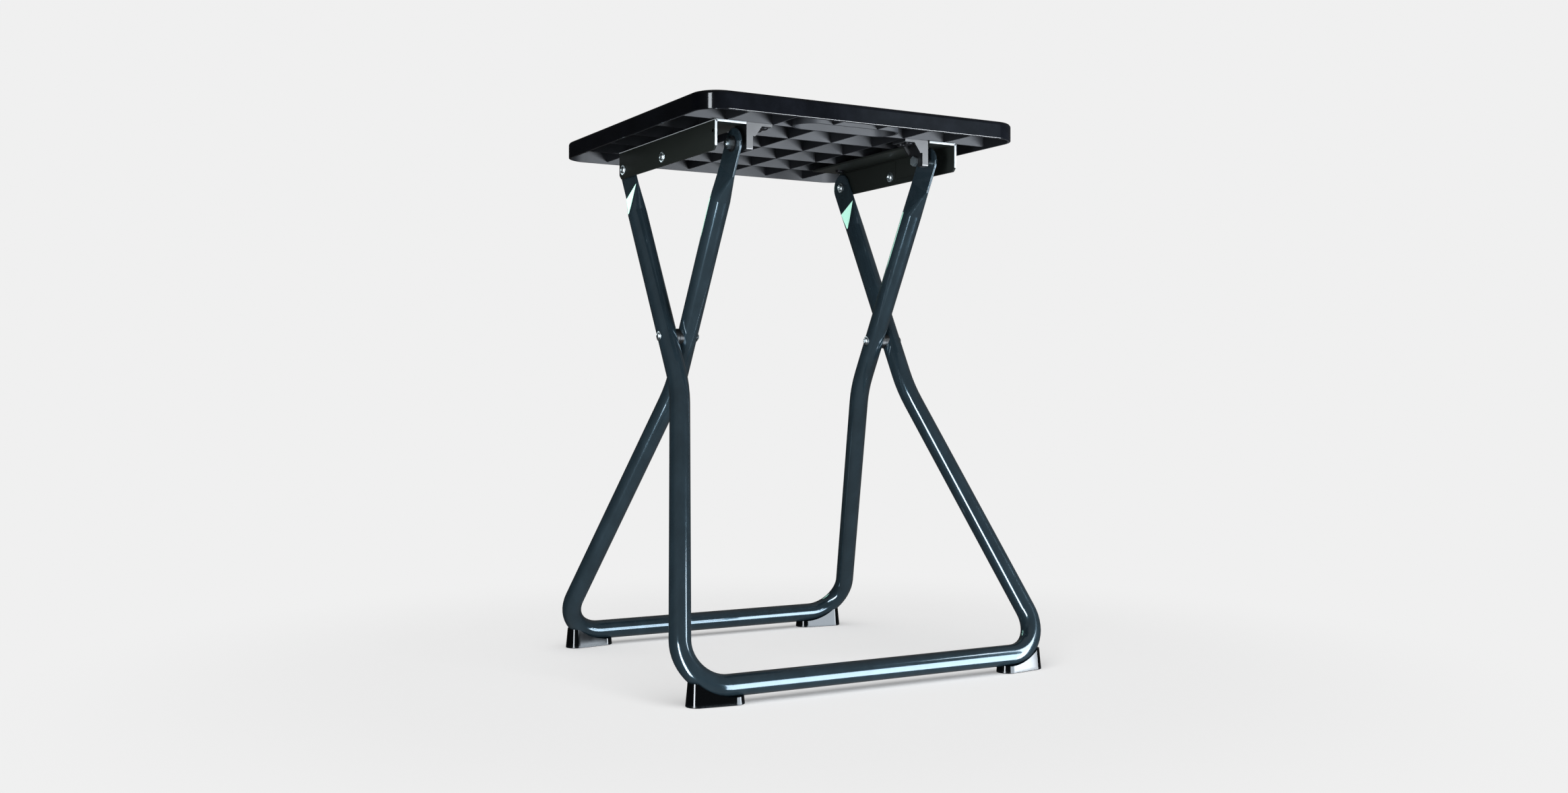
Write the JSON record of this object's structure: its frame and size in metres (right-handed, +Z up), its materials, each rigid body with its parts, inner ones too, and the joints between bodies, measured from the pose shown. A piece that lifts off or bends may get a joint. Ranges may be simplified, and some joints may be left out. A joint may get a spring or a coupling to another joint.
{
  "type": "folding side table",
  "caption": "Square moulded tray top with a hand hold, on crossed U-shaped tube legs that fold flat.",
  "frame": {"origin": "on the floor, under the scissor axis, midway between the feet: the bottom centre of the bounding box of the open table", "axes": "+X along the hand-hold edge, to the right seen from that edge; +Y away from the hand-hold edge; +Z up"},
  "size_m": [0.4512, 0.4128, 0.6],
  "materials": {
    "tray_plastic": "fine moulded grain, satin sides",
    "foot_plastic": "glossy moulded",
    "spacer_plastic": "satin moulded",
    "leg_paint": "glossy slate-blue metallic powder coat",
    "rail_paint": "dark olive-black coat, pale on cut edges",
    "bright_steel": "bright zinc-plated",
    "black_steel": "black oxide, glossy"
  },
  "bodies": {
    "outer_legs": {"outer_leg_frame": "leg_paint", "front_left_foot": "foot_plastic", "front_right_foot": "foot_plastic", "front_foot_screws": "black_steel", "left_scissor_rivet": "bright_steel", "left_outer_saddle": "spacer_plastic", "right_scissor_rivet": "bright_steel", "right_outer_saddle": "spacer_plastic"},
    "inner_legs": {"inner_leg_frame": "leg_paint", "rear_left_foot": "foot_plastic", "rear_right_foot": "foot_plastic", "rear_foot_screws": "black_steel", "left_inner_saddle": "spacer_plastic", "left_hook_bolt": "bright_steel", "left_hook_nut": "bright_steel", "left_hook_washer": "spacer_plastic", "left_hook_sleeve": "bright_steel", "right_inner_saddle": "spacer_plastic", "right_hook_bolt": "bright_steel", "right_hook_nut": "bright_steel", "right_hook_washer": "spacer_plastic", "right_hook_sleeve": "bright_steel"},
    "tabletop": {"table_top": "tray_plastic", "left_rail_stud": "bright_steel", "left_rail": "rail_paint", "left_rail_doubler": "rail_paint", "left_top_rivet": "bright_steel", "left_doubler_rivet": "bright_steel", "left_rail_screws": "black_steel", "left_hook_bracket": "tray_plastic", "left_bracket_screws": "black_steel", "right_rail": "rail_paint", "right_rail_doubler": "rail_paint", "right_top_rivet": "bright_steel", "right_doubler_rivet": "bright_steel", "right_rail_screws": "black_steel", "right_hook_bracket": "tray_plastic", "right_bracket_screws": "black_steel"}
  },
  "joints": [
    {"name": "top_fold", "type": "hinge", "parent": "outer_legs", "child": "tabletop", "pos_m": [0, 0.10977, 0.56183], "axis": [-1, 0, 0], "range_deg": [0, 110]},
    {"name": "leg_fold", "type": "hinge", "parent": "outer_legs", "child": "inner_legs", "pos_m": [0, 0, 0.36542], "axis": [-1, 0, 0], "range_deg": [0, 50.8]}
  ],
  "couplings": [
    {"joint": "leg_fold", "follows": "top_fold", "ratio": 0.46}
  ]
}
